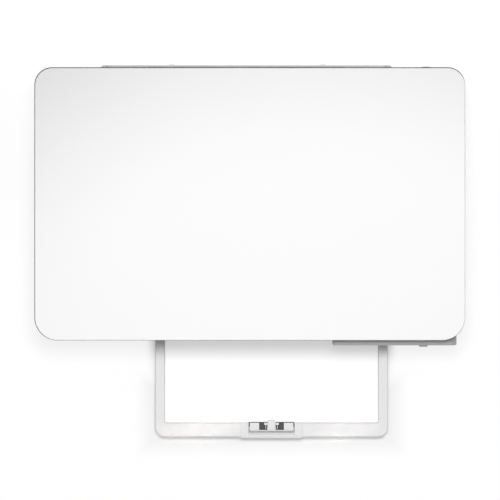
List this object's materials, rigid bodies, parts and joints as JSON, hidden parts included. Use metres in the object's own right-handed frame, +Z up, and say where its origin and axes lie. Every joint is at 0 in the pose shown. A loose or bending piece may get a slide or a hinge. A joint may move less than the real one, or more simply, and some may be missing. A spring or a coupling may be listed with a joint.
{
  "type": "inkjet printer",
  "caption": "Compact flat inkjet printer with a hinged lid, rear input tray, pull-out U-shaped output tray with a folding paper stop, and a working carriage and roller drive.",
  "frame": {"origin": "below the middle of the whole object at rest, on the plane of the feet", "axes": "+X to the right seen from the front, +Y to the back, +Z up"},
  "size_m": [0.3894, 0.343, 0.091],
  "materials": {
    "lid_white": "smooth white, low gloss",
    "casing_grey": "fine matt texture",
    "panel_grey": "satin grey",
    "button_grey": "satin",
    "lamp_clear": "clear lens",
    "tray_white": "satin white",
    "flap_grey": "fine matt texture",
    "inner_black": "matt black",
    "steel": "zinc-plated sheet and ground shaft",
    "gear_white": "natural acetal",
    "pinion_brass": "turned",
    "roller_rubber": "ground rubber",
    "film_clear": "printed film",
    "cartridge_dark": "textured",
    "latch_black": "satin",
    "latch_blue": "satin",
    "board_green": "solder mask",
    "supply_dark": "textured"
  },
  "bodies": {
    "base": {"lower_casing": "casing_grey", "upper_casing": "casing_grey", "rubber_feet": "roller_rubber", "casing_screws": "steel", "lid_hinge_pins": "steel", "control_panel": "panel_grey", "panel_lamps": "lamp_clear", "rear_switch_board": "board_green", "tray_rails": "inner_black", "side_plate_left": "steel", "side_plate_right": "steel", "roller_bushes": "gear_white", "exit_belt": "roller_rubber", "motor_bracket": "steel", "feed_motor": "steel", "star_wheel_bar": "inner_black", "pinch_holder": "inner_black", "platen": "inner_black", "delivery_floor": "inner_black", "paper_guide": "inner_black", "separation_pad": "roller_rubber", "pick_belt": "roller_rubber", "carriage_rail": "steel", "encoder_strip": "film_clear", "carriage_motor": "steel", "carriage_belt": "roller_rubber", "service_base": "inner_black", "main_board": "board_green", "usb_port": "steel", "power_inlet": "inner_black", "power_supply": "supply_dark"},
    "lid": {"lid": "lid_white"},
    "input_tray": {"input_tray": "flap_grey"},
    "paper_support": {"paper_support": "flap_grey"},
    "width_guide": {"width_guide": "flap_grey"},
    "output_tray": {"output_tray": "tray_white", "stop_pads": "inner_black"},
    "paper_stop": {"paper_stop": "tray_white"},
    "feed_roller": {"feed_roller": "roller_rubber", "feed_gear": "gear_white", "encoder_disc": "film_clear"},
    "exit_roller": {"exit_roller": "roller_rubber"},
    "drive_idler": {"drive_idler": "gear_white"},
    "motor_pinion": {"motor_pinion": "pinion_brass"},
    "pick_roller": {"pick_roller": "roller_rubber"},
    "pinch_rollers": {"pinch_rollers": "roller_rubber"},
    "star_wheels": {"star_wheels": "steel"},
    "carriage": {"carriage": "inner_black", "black_cartridge": "cartridge_dark", "colour_cartridge": "cartridge_dark"},
    "black_latch": {"black_latch": "latch_black"},
    "colour_latch": {"colour_latch": "latch_blue"},
    "motor_pulley": {"motor_pulley": "gear_white"},
    "belt_idler": {"belt_idler": "gear_white"},
    "cap_sled": {"cap_sled": "inner_black", "nozzle_caps": "roller_rubber"},
    "panel_button": {"panel_button": "button_grey"},
    "power_button": {"power_button": "button_grey"},
    "wireless_button": {"wireless_button": "button_grey"}
  },
  "joints": [
    {"name": "lid_hinge", "type": "hinge", "parent": "base", "child": "lid", "pos_m": [0, 0.1646, 0.08], "axis": [-1, 0, 0], "range_deg": [0, 60]},
    {"name": "input_tray_hinge", "type": "hinge", "parent": "base", "child": "input_tray", "pos_m": [-0.0032, 0.1678, 0.012], "axis": [-1, 0, 0], "range_deg": [0, 38]},
    {"name": "paper_support_slide", "type": "slide", "parent": "input_tray", "child": "paper_support", "axis": [0, 0, 1], "range_m": [0, 0.045]},
    {"name": "width_guide_slide", "type": "slide", "parent": "input_tray", "child": "width_guide", "axis": [1, 0, 0], "range_m": [0, 0.105]},
    {"name": "output_tray_slide", "type": "slide", "parent": "base", "child": "output_tray", "axis": [0, 1, 0], "range_m": [0, 0.074]},
    {"name": "paper_stop_hinge", "type": "hinge", "parent": "output_tray", "child": "paper_stop", "pos_m": [0.02, -0.1628, 0.0122], "axis": [1, 0, 0], "range_deg": [0, 88]},
    {"name": "feed_spin", "type": "hinge", "parent": "base", "child": "feed_roller", "pos_m": [0.016, 0.012, 0.0245], "axis": [1, 0, 0], "continuous": true},
    {"name": "exit_spin", "type": "hinge", "parent": "base", "child": "exit_roller", "pos_m": [0.016, -0.0384, 0.0245], "axis": [1, 0, 0], "continuous": true},
    {"name": "idler_spin", "type": "hinge", "parent": "base", "child": "drive_idler", "pos_m": [-0.108, 0.036, 0.0245], "axis": [1, 0, 0], "continuous": true},
    {"name": "pinion_spin", "type": "hinge", "parent": "base", "child": "motor_pinion", "pos_m": [-0.112, 0.0504, 0.0245], "axis": [1, 0, 0], "continuous": true},
    {"name": "pick_spin", "type": "hinge", "parent": "base", "child": "pick_roller", "pos_m": [0.0125, 0.1515, 0.0245], "axis": [1, 0, 0], "continuous": true},
    {"name": "pinch_spin", "type": "hinge", "parent": "base", "child": "pinch_rollers", "pos_m": [0.016, 0.012, 0.0348], "axis": [1, 0, 0], "continuous": true},
    {"name": "star_spin", "type": "hinge", "parent": "base", "child": "star_wheels", "pos_m": [0.016, -0.0384, 0.0353], "axis": [1, 0, 0], "continuous": true},
    {"name": "carriage_slide", "type": "slide", "parent": "base", "child": "carriage", "axis": [-1, 0, 0], "range_m": [0, 0.263]},
    {"name": "motor_pulley_spin", "type": "hinge", "parent": "base", "child": "motor_pulley", "pos_m": [-0.147, 0.046, 0.06], "axis": [0, 0, 1], "continuous": true},
    {"name": "belt_idler_spin", "type": "hinge", "parent": "base", "child": "belt_idler", "pos_m": [0.18, 0.046, 0.06], "axis": [0, 0, 1], "continuous": true},
    {"name": "black_latch_hinge", "type": "hinge", "parent": "carriage", "child": "black_latch", "pos_m": [0.1477, 0.016, 0.075], "axis": [-1, 0, 0], "range_deg": [0, 20]},
    {"name": "colour_latch_hinge", "type": "hinge", "parent": "carriage", "child": "colour_latch", "pos_m": [0.1727, 0.016, 0.075], "axis": [-1, 0, 0], "range_deg": [0, 20]},
    {"name": "cap_lift", "type": "slide", "parent": "base", "child": "cap_sled", "axis": [0, 0, 1], "range_m": [-0.005, 0], "stiffness_N_per_m": 100, "springref_m": 0.01},
    {"name": "panel_button_press", "type": "slide", "parent": "base", "child": "panel_button", "axis": [0, 1, 0], "range_m": [0, 0.0012], "stiffness_N_per_m": 300, "springref_m": -0.002},
    {"name": "power_button_press", "type": "slide", "parent": "base", "child": "power_button", "axis": [0, -1, 0], "range_m": [0, 0.0012], "stiffness_N_per_m": 300, "springref_m": -0.002},
    {"name": "wireless_button_press", "type": "slide", "parent": "base", "child": "wireless_button", "axis": [0, -1, 0], "range_m": [0, 0.0012], "stiffness_N_per_m": 300, "springref_m": -0.002}
  ],
  "couplings": [
    {"joint": "exit_spin", "follows": "feed_spin", "ratio": 1},
    {"joint": "idler_spin", "follows": "feed_spin", "ratio": -1.2222},
    {"joint": "pinion_spin", "follows": "feed_spin", "ratio": 3.6667},
    {"joint": "pick_spin", "follows": "feed_spin", "ratio": -1.2222},
    {"joint": "pinch_spin", "follows": "feed_spin", "ratio": -1.5},
    {"joint": "star_spin", "follows": "feed_spin", "ratio": -1.3333},
    {"joint": "motor_pulley_spin", "follows": "carriage_slide", "rad_per_m": -176.68},
    {"joint": "belt_idler_spin", "follows": "carriage_slide", "rad_per_m": -176.68}
  ]
}
